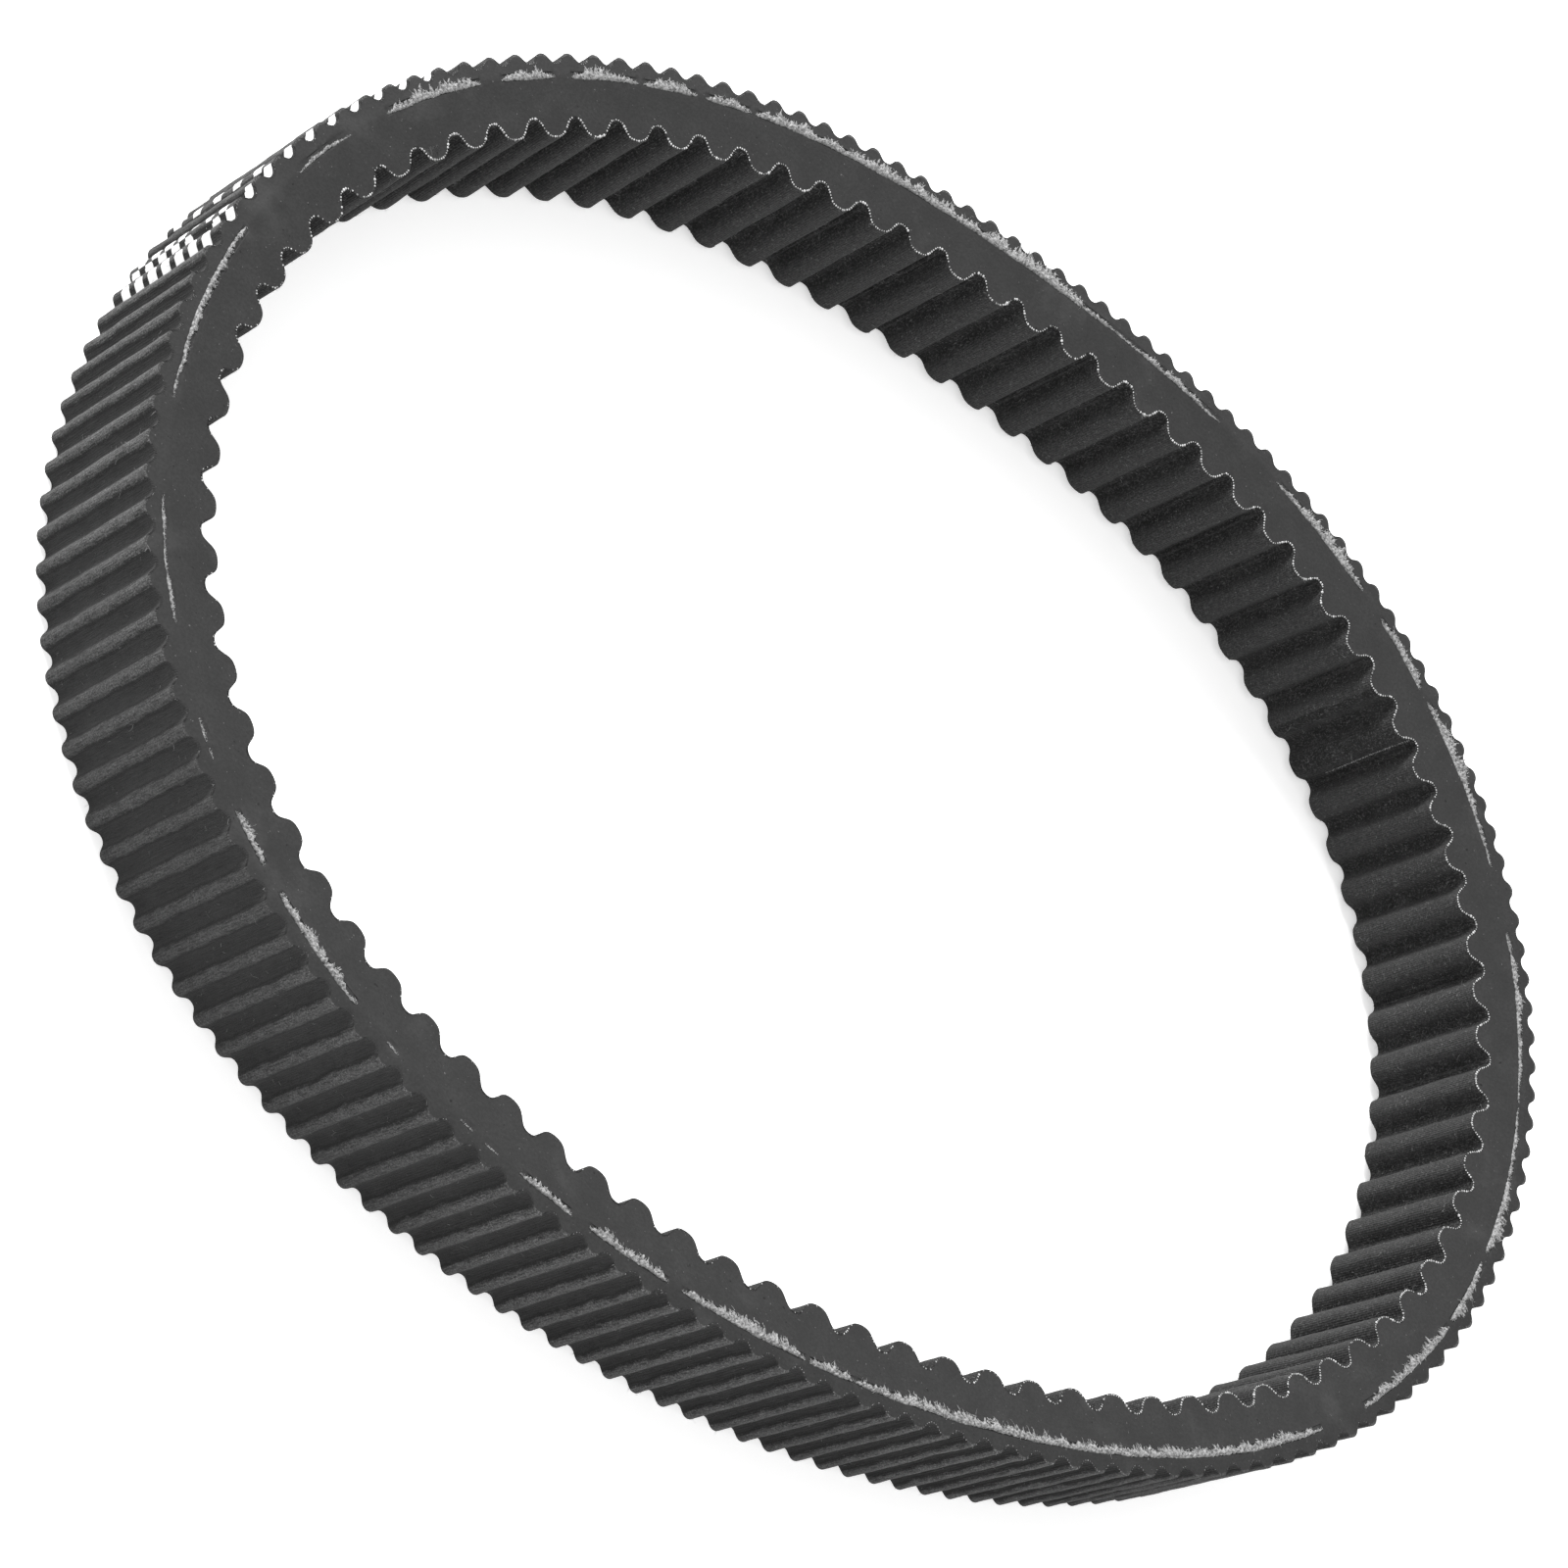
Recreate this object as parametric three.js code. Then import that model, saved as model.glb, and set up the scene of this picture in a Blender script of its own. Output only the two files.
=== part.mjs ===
// Double-cogged raw-edge V-belt for a variable-speed drive.
//
// The belt lies on one flank as a relaxed oval loop: its long axis is along X, its ring axis along +Z, and
// the origin is under the middle of the loop. It is a laminate. Every layer is a closed ring, placed by its
// offset from the cord line, outwards positive. All sizes are in millimetres.

import * as THREE from 'three';

// The loop that the cord line follows: a mean radius and the slow waves that make it an oval.
const MEAN_RADIUS = 140;
const LOOP_WAVES = [
  { order: 2, cos: 23.3, sin: 0 },
  { order: 3, cos: -0.5, sin: 0.35 },
  { order: 4, cos: 1.2, sin: 0.2 },
  { order: 5, cos: 0, sin: 0.5 },
];

// The section: a flat shoulder above the cord line, and V flanks below it.
const WIDTH = 34;
const FLANK_ANGLE = THREE.MathUtils.degToRad(12);
const OUTER_TIP = 4.3;
const OUTER_COG_DEPTH = 1.9;
const INNER_TIP = -11.2;
const INNER_COG_DEPTH = 3.4;

// The layers' thicknesses, and the glue line that parts each layer from the next.
const FABRIC = 0.5;
const BOND = 0.1;
const UPPER_ADHESION = 0.4;
const LOWER_ADHESION = 0.75;

// The tension cord is wound side by side across the belt.
const CORD_DIAMETER = 1.5;
const CORD_TURNS = 18;
const CORD_PITCH = 1.85;

// The cogs, as points of [share of a pitch from the cog's middle, share of the cog's depth below its tip].
const INNER_COGS = { count: 86, phase: 0.62, corners: [[-0.4, 1], [-0.2, 0], [0.2, 0], [0.4, 1]] };
const OUTER_COGS = { count: 148, phase: 0.18, corners: [[0, 0], [0.5, 1]] };

// The cords and the smooth bond faces run straight from one station to the next, on every fourth outer cog.
const COGS_PER_STATION = 4;
const STATIONS = OUTER_COGS.count / COGS_PER_STATION;
const FIRST_STATION = OUTER_COGS.phase / OUTER_COGS.count;

// Keeps a place that is on a corner from being rounded to the one before it.
const ROUNDING = 1e-9;

const RUBBER = { color: 0x2d2d2e, roughness: 0.85, metalness: 0 };
const ADHESION = { color: 0x37373a, roughness: 0.8, metalness: 0 };
const FACING = { color: 0x232324, roughness: 0.95, metalness: 0 };
const ARAMID = { color: 0x9c9a94, roughness: 0.9, metalness: 0 };

class BeltLoop extends THREE.Curve {
  constructor() {
    super();
    this.arcLengthDivisions = 2400;
  }

  getPoint(t, target = new THREE.Vector3()) {
    const angle = 2 * Math.PI * t;
    let radius = MEAN_RADIUS;
    for (const { order, cos, sin } of LOOP_WAVES) {
      radius += cos * Math.cos(order * angle) + sin * Math.sin(order * angle);
    }
    return target.set(radius * Math.cos(angle), radius * Math.sin(angle), 0);
  }
}

const loop = new BeltLoop();

/** The point at a share of the loop's length, moved outwards from the cord line by an offset. */
function loopPoint(share, offset) {
  const wrapped = ((share % 1) + 1) % 1;
  const tangent = loop.getTangentAt(wrapped);
  const outwards = new THREE.Vector3(tangent.y, -tangent.x, 0);
  return loop.getPointAt(wrapped).addScaledVector(outwards, offset);
}

const stationShare = (station) => FIRST_STATION + station / STATIONS;

/** The same point on the straight line between the two stations beside it. */
function stationPoint(share, offset) {
  const place = (share - FIRST_STATION) * STATIONS;
  const station = Math.floor(place + ROUNDING);
  const next = loopPoint(stationShare(station + 1), offset);
  return loopPoint(stationShare(station), offset).lerp(next, place - station);
}

/** Half of the belt's width at an offset from the cord line. */
function halfWidth(offset) {
  return WIDTH / 2 + Math.min(offset, 0) * Math.tan(FLANK_ANGLE);
}

/** A closed ring: the corners that sectionAt gives for each share of the loop, joined all the way round. */
function ring(shares, sectionAt) {
  const sections = [...shares, shares[0]].map((share) => {
    const corners = sectionAt(share);
    return [...corners, corners[0]];
  });
  const profile = sections[0].map((corner) => new THREE.Vector2(MEAN_RADIUS, corner.z));
  const geometry = new THREE.LatheGeometry(profile, shares.length);
  sections.flat().forEach(({ x, y, z }, index) => geometry.attributes.position.setXYZ(index, x, y, z));
  geometry.computeVertexNormals();
  return geometry;
}

/** A layer between two faces. A face gives its offset at a share of the loop, and may be cogged. */
function layer(shares, inner, outer) {
  return ring(shares, (share) => {
    const edge = (face, side) => {
      const offset = face.offsetAt(share);
      const point = face.cogged ? loopPoint(share, offset) : stationPoint(share, offset);
      return point.setZ(side * halfWidth(offset));
    };
    return [edge(inner, -1), edge(outer, -1), edge(outer, 1), edge(inner, 1)];
  });
}

const smoothFace = (offset) => ({ cogged: false, offsetAt: () => offset });

/** A face that follows a row of cogs. Tip is its offset on the cogs' tips, and valley the one between them. */
function coggedFace({ count, phase, corners }, tip, valley) {
  const first = corners[0];
  const outline = [...corners, [first[0] + 1, first[1]]];
  const offsetAt = (share) => {
    const turns = share * count - phase - first[0];
    const place = first[0] + turns - Math.floor(turns + ROUNDING);
    const after = outline.findIndex(([at]) => at > place + ROUNDING);
    const [from, to] = [outline[after - 1], outline[after]];
    const depth = THREE.MathUtils.mapLinear(place, from[0], to[0], from[1], to[1]);
    return THREE.MathUtils.lerp(tip, valley, depth);
  };
  return { cogged: true, offsetAt };
}

/** The shares of the loop at which a row of cogs has its corners. */
function cogShares({ count, phase, corners }) {
  const cogs = Array.from({ length: count }, (_, cog) => cog);
  return cogs.flatMap((cog) => corners.map(([at]) => (cog + phase + at) / count));
}

const stationShares = Array.from({ length: STATIONS }, (_, station) => stationShare(station));

/** One turn of the cord as a square bar with the round cord's sectional area. */
function cordTurn(height) {
  const half = (CORD_DIAMETER / 4) * Math.sqrt(Math.PI);
  return ring(stationShares, (share) => [
    loopPoint(share, -half).setZ(height - half),
    loopPoint(share, half).setZ(height - half),
    loopPoint(share, half).setZ(height + half),
    loopPoint(share, -half).setZ(height + half),
  ]);
}

const belt = new THREE.Group();

function add(name, finish, geometry) {
  const mesh = new THREE.Mesh(geometry, new THREE.MeshStandardMaterial(finish));
  mesh.name = name;
  belt.add(mesh);
}

// Outside: the cogged facing and the overcord rubber under it.
const cordSlot = CORD_DIAMETER / 2 + BOND;
const upperAdhesionTop = cordSlot + UPPER_ADHESION;
const outerValley = OUTER_TIP - OUTER_COG_DEPTH;
const outerShares = cogShares(OUTER_COGS);
const outerFace = (depth) => coggedFace(OUTER_COGS, OUTER_TIP - depth, outerValley - depth);
add('outer_fabric_facing', FACING, layer(outerShares, outerFace(FABRIC), outerFace(0)));
add('overcord_rubber', RUBBER,
  layer(outerShares, smoothFace(upperAdhesionTop + BOND), outerFace(FABRIC + BOND)));

// Middle: the cord turns between two sheets of adhesion rubber.
const lowerAdhesionBase = -cordSlot - LOWER_ADHESION;
add('upper_adhesion_rubber', ADHESION,
  layer(stationShares, smoothFace(cordSlot), smoothFace(upperAdhesionTop)));
for (let turn = 0; turn < CORD_TURNS; turn++) {
  const height = (turn - (CORD_TURNS - 1) / 2) * CORD_PITCH;
  add(`tension_cord_turn_${String(turn + 1).padStart(2, '0')}`, ARAMID, cordTurn(height));
}
add('lower_adhesion_rubber', ADHESION,
  layer(stationShares, smoothFace(lowerAdhesionBase), smoothFace(-cordSlot)));

// Inside: the cogged undercord rubber and its facing.
const innerValley = INNER_TIP + INNER_COG_DEPTH;
const innerShares = cogShares(INNER_COGS);
const innerFace = (depth) => coggedFace(INNER_COGS, INNER_TIP + depth, innerValley + depth);
add('undercord_rubber', RUBBER,
  layer(innerShares, innerFace(FABRIC + BOND), smoothFace(lowerAdhesionBase - BOND)));
add('inner_fabric_facing', FACING, layer(innerShares, innerFace(0), innerFace(FABRIC)));

// The origin is on the ground under the middle of the loop.
const bounds = new THREE.Box3().setFromObject(belt);
const middle = bounds.getCenter(new THREE.Vector3());
belt.position.set(-middle.x, -middle.y, -bounds.min.z);

export default belt;
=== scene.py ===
"""Double-cogged variable-speed V-belt, lying on one flank as a relaxed oval loop.

Sizes are in millimetres until a mesh is written, which is in metres. A place on the belt is its share of
the loop's length, its offset from the cord line (outwards positive) and its height over the mid-plane.
A flank's side is 1 for the one on top and -1 for the one on the ground.
"""

import math

import bpy
import numpy as np
from mathutils import Matrix, Vector


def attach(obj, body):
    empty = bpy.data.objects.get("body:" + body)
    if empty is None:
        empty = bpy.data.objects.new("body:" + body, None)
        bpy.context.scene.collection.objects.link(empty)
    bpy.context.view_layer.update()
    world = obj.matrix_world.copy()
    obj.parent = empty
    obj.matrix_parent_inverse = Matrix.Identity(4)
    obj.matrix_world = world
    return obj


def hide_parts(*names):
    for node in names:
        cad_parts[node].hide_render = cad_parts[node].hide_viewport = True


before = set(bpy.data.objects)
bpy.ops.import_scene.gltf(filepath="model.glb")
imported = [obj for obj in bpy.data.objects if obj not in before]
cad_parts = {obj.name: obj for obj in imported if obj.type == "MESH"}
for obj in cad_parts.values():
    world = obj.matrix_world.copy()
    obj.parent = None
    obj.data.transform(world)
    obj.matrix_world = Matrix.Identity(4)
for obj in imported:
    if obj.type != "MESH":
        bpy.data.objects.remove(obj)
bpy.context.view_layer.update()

MM = 0.001

# ---- the belt's own sizes, as in the CAD ----
MEAN_RADIUS = 140.0
LOOP_WAVES = ((2, 23.3, 0.0), (3, -0.5, 0.35), (4, 1.2, 0.2), (5, 0.0, 0.5))  # order, cosine, sine
HALF_WIDTH = 17.0
FLANK_SLOPE = math.tan(math.radians(12))
OUTER_TIP, OUTER_DEPTH, OUTER_COGS, OUTER_PHASE = 4.3, 1.9, 148, 0.18
INNER_TIP, INNER_DEPTH, INNER_COGS, INNER_PHASE = -11.2, 3.4, 86, 0.62
FABRIC = 0.5
OVERCORD_BASE = 1.4
UNDERCORD_TOP = -1.65
CORD_DIAMETER, CORD_TURNS, CORD_PITCH = 1.5, 18, 1.85
CORD_LAY = 12.0  # how far the cord runs while its strands turn once

GROUND_GAP = 0.02  # how far over the ground the fibres stay
LAP_START = 0.5962  # where the inner facing's lap begins, as a share of the loop
SCUFF_THREADS = 12  # in each of the small rubbed patches

# Where grinding the flank has laid the cord bare: the start and length of each stretch along the cord line,
# the side that its loose fibres lean to (1 is outwards), and how far they spread at even steps along it.
NEAR_STREAKS = (
    (29, 22, -1, (0.4, 0.5, 0.3, 0.45, 0.6, 0.3)),
    (67, 4, -1, (0.3, 0.5, 0.3)),
    (72, 2, -1, (0.3, 0.4, 0.3)),
    (83, 10, -1, (0.5, 1.4, 1.5, 1.2, 0.6)),
    (98, 22, -1, (0.6, 1.8, 1.9, 2.3, 1.3, 0.5)),
    (128, 3, -1, (0.2, 0.4, 0.2)),
    (146, 3, -1, (0.3, 0.5, 0.3)),
    (152, 3, -1, (0.2, 0.4, 0.3)),
    (160, 12, -1, (0.4, 1.1, 1.4, 1.0, 0.4)),
    (176, 18, -1, (0.5, 1.6, 1.7, 1.6, 2.0, 0.5)),
    (197, 28, -1, (0.7, 1.6, 2.2, 2.6, 2.0, 0.6)),
    (226, 10, -1, (0.8, 1.5, 1.6, 0.8)),
    (236, 118, -1, (0.7, 2.1, 1.9, 1.8, 1.7, 1.8, 1.9, 1.8, 2.1, 0.5)),
    (367, 32, -1, (0.5, 1.7, 1.9, 2.0, 1.9, 0.8)),
    (400.5, 17, 1, (0.8, 1.7, 1.5, 1.2, 0.4)),
    (420, 19, 1, (0.5, 2.6, 2.3, 1.4, 0.8)),
    (439, 16, 1, (0.7, 0.6, 0.7, 0.5, 0.3)),
    (456, 37, 1, (0.3, 0.8, 1.0, 1.5, 1.1, 0.4)),
    (507, 37, 1, (0.3, 0.7, 0.9, 1.0, 1.7, 2.5, 2.9, 2.6, 1.5, 0.4)),
    (547, 17, 1, (0.6, 2.2, 2.4, 1.9, 1.5, 0.5)),
    (571, 30, 1, (0.4, 1.5, 2.7, 2.8, 2.2, 1.8, 1.0, 0.3)),
    (619, 31, 1, (0.2, 0.7, 1.0, 1.3, 1.0, 0.5, 0.4)),
    (649, 96, 1, (0.4, 0.8, 1.3, 2.7, 2.9, 2.8, 2.5, 1.5, 2.7, 2.1, 2.2, 2.2, 1.5, 1.5, 2.2, 2.6, 0.4)),
    (746, 11, 1, (0.3, 1.6, 1.8, 1.2, 0.3)),
    (759, 13, 1, (0.4, 1.6, 2.2, 1.6, 0.4)),
    (773, 16, 1, (0.3, 1.2, 2.0, 2.8, 2.0, 0.6)),
    (793, 13, 1, (0.4, 1.4, 2.2, 1.4, 0.3)),
    (811, 24, 1, (0.5, 1.8, 1.9, 2.2, 1.9, 1.4, 0.4)),
    (845, 15, 1, (0.2, 0.3, 0.6, 0.7, 0.4, 0.2)),
    (877, 38, -1, (0.5, 1.0, 1.1, 1.0, 0.7, 0.3)),
)
STREAK_EDGE = 0.55  # how far a stretch's clean edge is from the cord line, on the side opposite its lean


# ---- the loop ----
def loop_at_angle(angle):
    """Points and tangents of the cord line at polar angles."""
    radius = np.full_like(angle, MEAN_RADIUS)
    slope = np.zeros_like(angle)
    for order, cosine, sine in LOOP_WAVES:
        radius += cosine * np.cos(order * angle) + sine * np.sin(order * angle)
        slope += order * (sine * np.cos(order * angle) - cosine * np.sin(order * angle))
    x, y = radius * np.cos(angle), radius * np.sin(angle)
    tangent = np.stack([slope * np.cos(angle) - y, slope * np.sin(angle) + x], -1)
    return np.stack([x, y], -1), tangent


ANGLES = np.linspace(0, 2 * math.pi, 14401)
CHORDS = np.linalg.norm(np.diff(loop_at_angle(ANGLES)[0], axis=0), axis=1)
LENGTHS = np.insert(np.cumsum(CHORDS), 0, 0.0)
LOOP_LENGTH = float(LENGTHS[-1])


def outward_normal(share):
    """The cord line's points and outward normals at shares of its length."""
    angle = np.interp(np.mod(share, 1.0) * LOOP_LENGTH, LENGTHS, ANGLES)
    point, tangent = loop_at_angle(angle)
    tangent /= np.linalg.norm(tangent, axis=-1, keepdims=True)
    return point, np.stack([tangent[..., 1], -tangent[..., 0]], -1)


def directions(share):
    """The outward normal and the direction along the loop, at a list of shares of its length."""
    _, normal = outward_normal(share)
    return normal, np.stack([-normal[:, 1], normal[:, 0]], 1)


def origin_shift():
    """The cord line's centre isn't the origin: the middle of the outer cogs' box is, on the ground."""
    tips = (np.arange(OUTER_COGS) + OUTER_PHASE) / OUTER_COGS
    point, normal = outward_normal(tips)
    edge = point + OUTER_TIP * normal
    return -(edge.min(0) + edge.max(0)) / 2


SHIFT = origin_shift()


def place(share, offset, height):
    """Points on the belt, in millimetres in the model's frame."""
    share, offset, height = np.broadcast_arrays(share, offset, height)
    point, normal = outward_normal(share)
    flat = point + offset[..., None] * normal + SHIFT
    return np.concatenate([flat, height[..., None] + HALF_WIDTH], -1)


def half_width(offset):
    return HALF_WIDTH + np.minimum(offset, 0) * FLANK_SLOPE


# ---- the cogs ----
def cog_height(share, count, phase, half, softness, crown):
    """0 in a valley and 1 on a tip, which crown rounds.

    half is a cog's half width at mid depth, as a share of the pitch. softness is how wide its walls slope.
    """
    across = np.abs(np.mod(share * count - phase + 0.5, 1.0) - 0.5)
    wall = 0.5 * (1 + np.tanh((half - across) / softness))
    return wall * (1 - crown * (across / half) ** 2)


def inner_edge(share):
    rise = cog_height(share, INNER_COGS, INNER_PHASE, 0.305, 0.095, 0.2)
    return INNER_TIP + INNER_DEPTH * (1 - rise)


def outer_edge(share):
    rise = cog_height(share, OUTER_COGS, OUTER_PHASE, 0.27, 0.12, 0.15)
    return OUTER_TIP - OUTER_DEPTH * (1 - rise)


# ---- noise ----
def ripple(seed, waves, along, across=None):
    """Smooth noise about 0, from a few random waves. waves is (count, shortest, longest), in mm."""
    rng = np.random.default_rng(seed)
    count, shortest, longest = waves
    total = np.zeros(np.broadcast(along, 0.0 if across is None else across).shape)
    for _ in range(count):
        wavelength = math.exp(rng.uniform(math.log(shortest), math.log(longest)))
        turn, phase = rng.uniform(0, 2 * math.pi, 2)
        # whole waves round the loop, so that the noise closes
        cycles = max(1, round(LOOP_LENGTH / wavelength * abs(math.cos(turn))))
        wave = cycles * 2 * math.pi * along / LOOP_LENGTH + phase
        if across is not None:
            wave = wave + 2 * math.pi * across / wavelength * math.sin(turn)
        total = total + np.sin(wave)
    return total / math.sqrt(count / 2)


# ---- meshes ----
def new_object(name, points, faces, uv=None, crease=38, crest=None):
    """A mesh object from points in millimetres, with quads or triangles and a uv for each face's corners.

    Edges bent by more than crease degrees are sharp. crest is a number for each point, for the materials.
    """
    faces = np.asarray(faces, np.int32)
    mesh = bpy.data.meshes.new(name)
    mesh.vertices.add(len(points))
    mesh.vertices.foreach_set("co", (np.asarray(points, float) * MM).astype(np.float32).ravel())
    mesh.loops.add(faces.size)
    mesh.loops.foreach_set("vertex_index", faces.ravel())
    mesh.polygons.add(len(faces))
    mesh.polygons.foreach_set("loop_start", np.arange(0, faces.size, faces.shape[1], dtype=np.int32))
    mesh.polygons.foreach_set("use_smooth", np.ones(len(faces), bool))
    if uv is not None:
        layer = mesh.uv_layers.new(name="belt")
        layer.data.foreach_set("uv", np.asarray(uv, np.float32).ravel())
    if crest is not None:
        attribute = mesh.attributes.new("crest", "FLOAT", "POINT")
        attribute.data.foreach_set("value", crest.astype(np.float32).ravel())
    mesh.update(calc_edges=True)
    mesh.set_sharp_from_angle(angle=math.radians(crease))
    thing = bpy.data.objects.new(name, mesh)
    bpy.context.scene.collection.objects.link(thing)
    return thing


def tube_quads(stations, corners, closed):
    """The walls of a tube, as point numbers, with its points listed station by station."""
    walls = stations if closed else stations - 1
    i, j = np.meshgrid(np.arange(walls), np.arange(corners), indexing="ij")
    near, far = i * corners, (i + 1) % stations * corners
    after = (j + 1) % corners
    return np.stack([near + j, near + after, far + after, far + j], -1).reshape(-1, 4)


def capped_tube(stations, corners):
    """The triangles of a tube with a fan over each end."""
    quads = tube_quads(stations, corners, closed=False)
    fan = np.arange(1, corners - 1)
    last = (stations - 1) * corners
    first_cap = np.stack([np.zeros_like(fan), fan + 1, fan], 1)
    last_cap = np.stack([np.full_like(fan, last), last + fan, last + fan + 1], 1)
    return np.concatenate([quads[:, [0, 1, 2]], quads[:, [0, 2, 3]], first_cap, last_cap])


def ring_object(name, grid, travel, around, crease=38, crest=None):
    """A closed ring from grid[station, corner], whose uv is travel along it and around it, in mm.

    travel has one number more than there are stations, and around one column more than there are corners.
    """
    stations, corners = grid.shape[:2]
    i, j = np.meshgrid(np.arange(stations), np.arange(corners), indexing="ij")
    following = (i + 1) % stations
    uv = np.stack([
        np.stack([travel[i], around[i, j]], -1),
        np.stack([travel[i], around[i, j + 1]], -1),
        np.stack([travel[i + 1], around[following, j + 1]], -1),
        np.stack([travel[i + 1], around[following, j]], -1),
    ], 2)
    quads = tube_quads(stations, corners, closed=True)
    return new_object(name, grid.reshape(-1, 3), quads, uv.reshape(-1, 2), crease, crest)


def section_ring(name, stations, corners_at):
    """A ring whose section is a list of (offset, height), anticlockwise when looking along the loop."""
    share = np.arange(stations) / stations
    corners = corners_at(share)
    offset = np.stack([np.broadcast_to(o, share.shape) for o, _ in corners], 1)
    height = np.stack([np.broadcast_to(h, share.shape) for _, h in corners], 1)
    grid = place(share[:, None], offset, height)
    step = np.linalg.norm(np.diff(np.concatenate([grid, grid[:, :1]], 1), axis=1), axis=2)
    around = np.cumsum(step, 1) - step
    around = np.concatenate([around, around[:, :1] + 1], 1)
    return ring_object(name, grid, np.append(share, 1.0) * LOOP_LENGTH, around)


def finish(piece, material, replaces=()):
    """Gives a piece its material, puts it under the root body, and hides the CAD nodes that it replaces."""
    piece.data.materials.append(material)
    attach(piece, "root")
    if replaces:
        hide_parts(*replaces)


def fibres(name, roots, steps, radii, sides=3, tip=0.35):
    """Tapered fibres. roots is (fibre, 3), steps (fibre, segment, 3) and radii (fibre,), all in mm."""
    spine = np.concatenate([roots[:, None], roots[:, None] + np.cumsum(steps, 1)], 1)
    count, rings = spine.shape[:2]
    run = np.gradient(spine, axis=1)
    run /= np.linalg.norm(run, axis=2, keepdims=True) + 1e-9
    side = np.cross(run, np.array([0.31, 0.52, 0.79]))  # any direction that no fibre follows
    side /= np.linalg.norm(side, axis=2, keepdims=True) + 1e-9
    other = np.cross(run, side)
    radius = radii[:, None, None] * np.linspace(1, tip, rings)[None, :, None]
    turns = [2 * math.pi * k / sides for k in range(sides)]
    points = np.stack([spine + radius * (math.cos(t) * side + math.sin(t) * other) for t in turns], 2)
    points[..., 2] = np.maximum(points[..., 2], GROUND_GAP)
    fibre, triangle = np.arange(count)[:, None, None], capped_tube(rings, sides)
    faces = (fibre * rings * sides + triangle).reshape(-1, 3)
    return new_object(name, points.reshape(-1, 3), faces, crease=80)


# ---- materials ----
class Nodes:
    """A material's node tree, with short calls for what the materials here share."""

    def __init__(self, name, roughness, specular, sheen=0.0):
        self.material = bpy.data.materials.new(name)
        self.material.use_nodes = True
        self.tree = self.material.node_tree
        self.shader = self.tree.nodes["Principled BSDF"]
        self.shader.inputs["Roughness"].default_value = roughness
        self.shader.inputs["Specular IOR Level"].default_value = specular
        self.shader.inputs["Sheen Weight"].default_value = sheen
        self.shader.inputs["Sheen Roughness"].default_value = 0.6

    def add(self, kind, settings=None, **inputs):
        node = self.tree.nodes.new(kind)
        for key, value in (settings or {}).items():
            setattr(node, key, value)
        for key, value in inputs.items():
            self.put(node.inputs[key.replace("_", " ")], value)
        return node

    def put(self, socket, value):
        if isinstance(value, bpy.types.NodeSocket):
            self.tree.links.new(value, socket)
        else:
            socket.default_value = value

    def coordinates(self, scale=(1, 1, 1), space="Object"):
        """Object coordinates in metres, or the belt's uv in millimetres, times a scale for each axis."""
        if space == "Object":
            source = self.add("ShaderNodeTexCoord").outputs["Object"]
        else:
            source = self.add("ShaderNodeUVMap", {"uv_map": "belt"}).outputs["UV"]
        return self.add("ShaderNodeMapping", Vector=source, Scale=scale).outputs["Vector"]

    def crest(self):
        """How near the surface is to a cog's tip, from 0 to 1."""
        return self.add("ShaderNodeAttribute", {"attribute_name": "crest"}).outputs["Fac"]

    def noise(self, where, scale, detail=3.0, rough=0.55):
        node = self.add("ShaderNodeTexNoise", Vector=where, Scale=scale, Detail=detail, Roughness=rough)
        return node.outputs["Fac"]

    def threads(self, pitch_mm, waver):
        """Threads that run across the belt, a pitch apart along it."""
        across = self.coordinates((1.0, 0.04, 1.0), "UV")
        bands_per_mm = math.pi / 10 / pitch_mm  # a wave texture has 10 / pi bands to the unit
        wave = self.add("ShaderNodeTexWave", {"bands_direction": "X"}, Vector=across, Scale=bands_per_mm,
                        Distortion=waver, Detail=2.0, Detail_Scale=3.0)
        return wave.outputs["Fac"]

    def ramp(self, value, low, high, to_low=0.0, to_high=1.0):
        """A smooth step up from low to high, or a step down where low is above high."""
        node = self.add("ShaderNodeMapRange", {"interpolation_type": "SMOOTHSTEP"}, Value=value)
        for key, number in zip(("From Min", "From Max", "To Min", "To Max"), (low, high, to_low, to_high)):
            node.inputs[key].default_value = number
        return node.outputs["Result"]

    def math(self, operation, first, second=0.0):
        node = self.add("ShaderNodeMath", {"operation": operation})
        self.put(node.inputs[0], first)
        self.put(node.inputs[1], second)
        return node.outputs[0]

    def mix(self, factor, first, second):
        """Greys or colours: a number stands for a grey."""
        node = self.add("ShaderNodeMix", {"data_type": "RGBA"})
        self.put(node.inputs[0], factor)
        for socket, value in ((node.inputs[6], first), (node.inputs[7], second)):
            self.put(socket, (value, value, value, 1.0) if isinstance(value, float) else value)
        return node.outputs[2]

    def times(self, first, second):
        return self.math("MULTIPLY", first, second)

    def over(self, body, mask, strength, colour):
        """The body with a colour laid over it where the mask is, at a strength."""
        return self.mix(self.times(mask, strength), body, colour)

    def bump(self, height, strength, distance_mm):
        """Adds a bump on top of the ones that the shader already has."""
        normal = self.shader.inputs["Normal"]
        node = self.add("ShaderNodeBump", Height=height, Strength=strength, Distance=distance_mm * MM)
        if normal.is_linked:
            self.tree.links.new(normal.links[0].from_socket, node.inputs["Normal"])
        self.tree.links.new(node.outputs["Normal"], normal)

    def colour(self, value):
        self.put(self.shader.inputs["Base Color"], value)

    def roughness(self, value):
        self.put(self.shader.inputs["Roughness"], value)


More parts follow.
